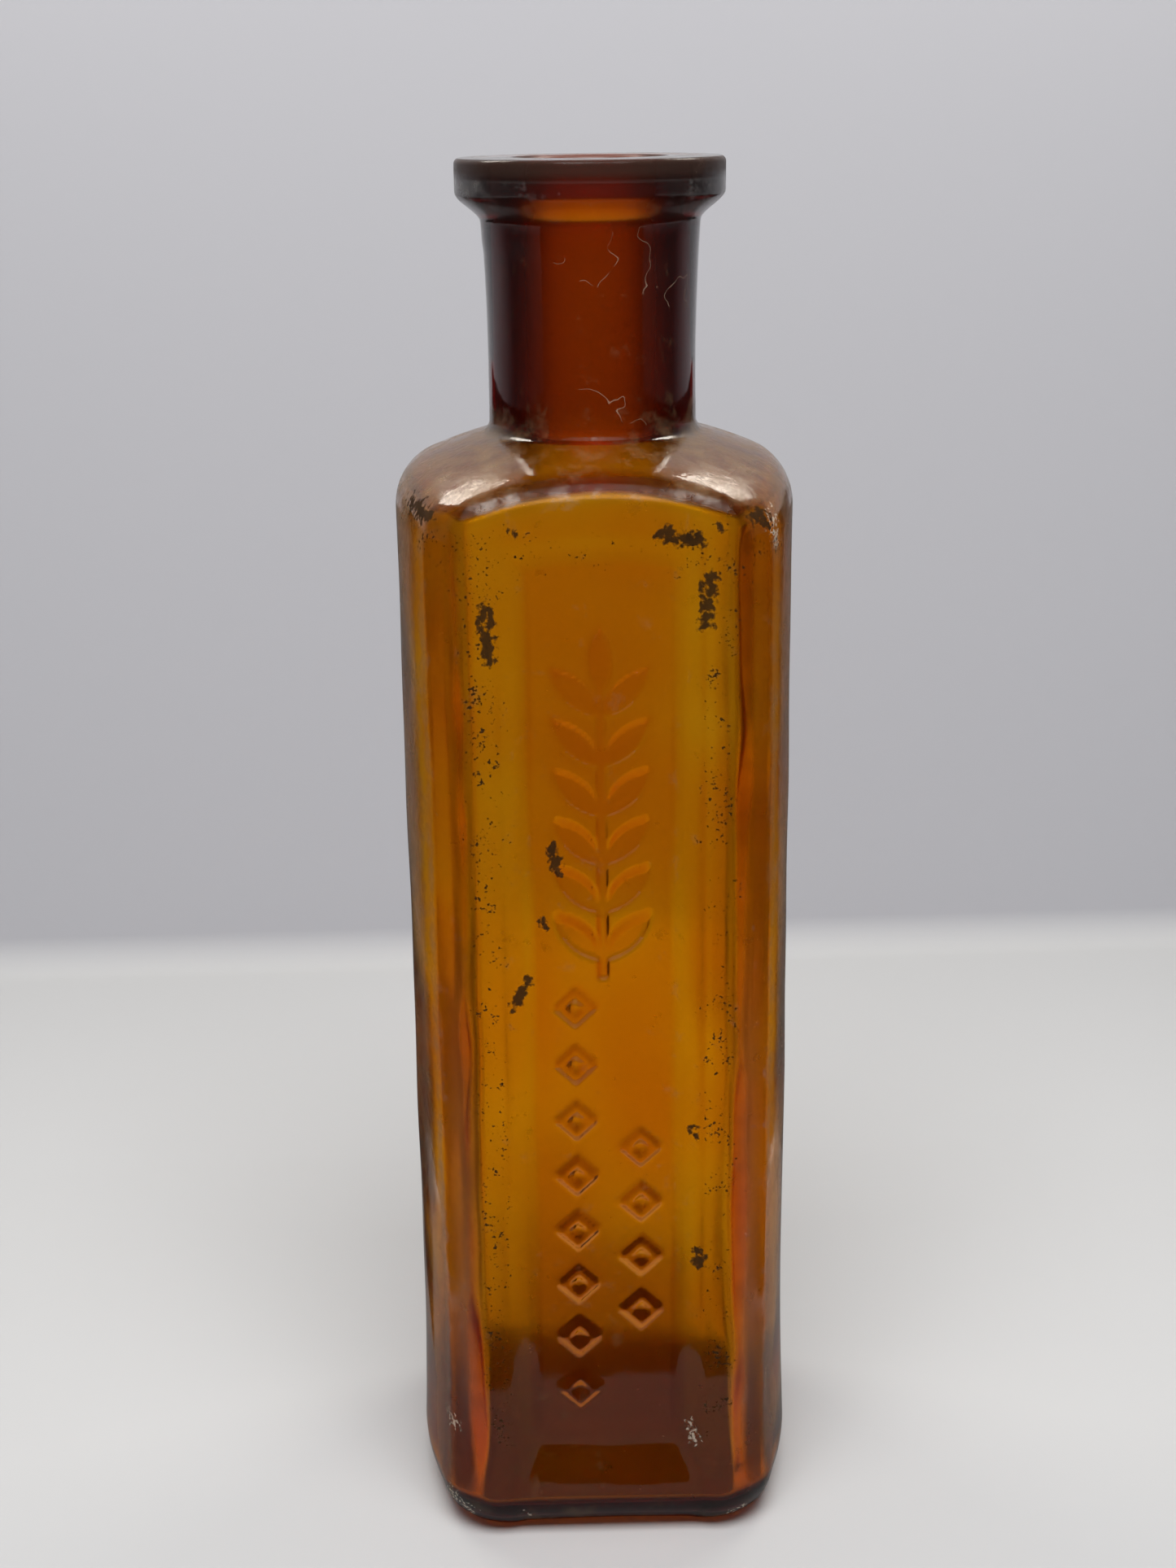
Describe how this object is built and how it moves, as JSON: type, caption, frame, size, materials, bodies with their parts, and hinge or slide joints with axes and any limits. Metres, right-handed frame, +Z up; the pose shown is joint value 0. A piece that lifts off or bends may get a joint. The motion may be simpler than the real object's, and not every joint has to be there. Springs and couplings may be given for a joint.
{
  "type": "dispensing bottle",
  "caption": "Tall amber glass bottle with a flat front and back, bowed sides, cut corners, a domed shoulder, a sunk front panel, a waisted neck and a flanged collar round an open bore.",
  "frame": {"origin": "centre of the base, on the surface that the bottle stands on", "axes": "+Z up the bottle's axis to the mouth, -Y out of the sunk front panel, +X to the right of the panel as it is faced"},
  "size_m": [0.0406, 0.0388, 0.1425],
  "materials": {
    "amber_glass": "worn clear amber glass",
    "collar_glass": "worn clear amber glass"
  },
  "bodies": {
    "root": {"glass_vessel": "amber_glass", "lip_collar": "collar_glass"}
  },
  "joints": []
}
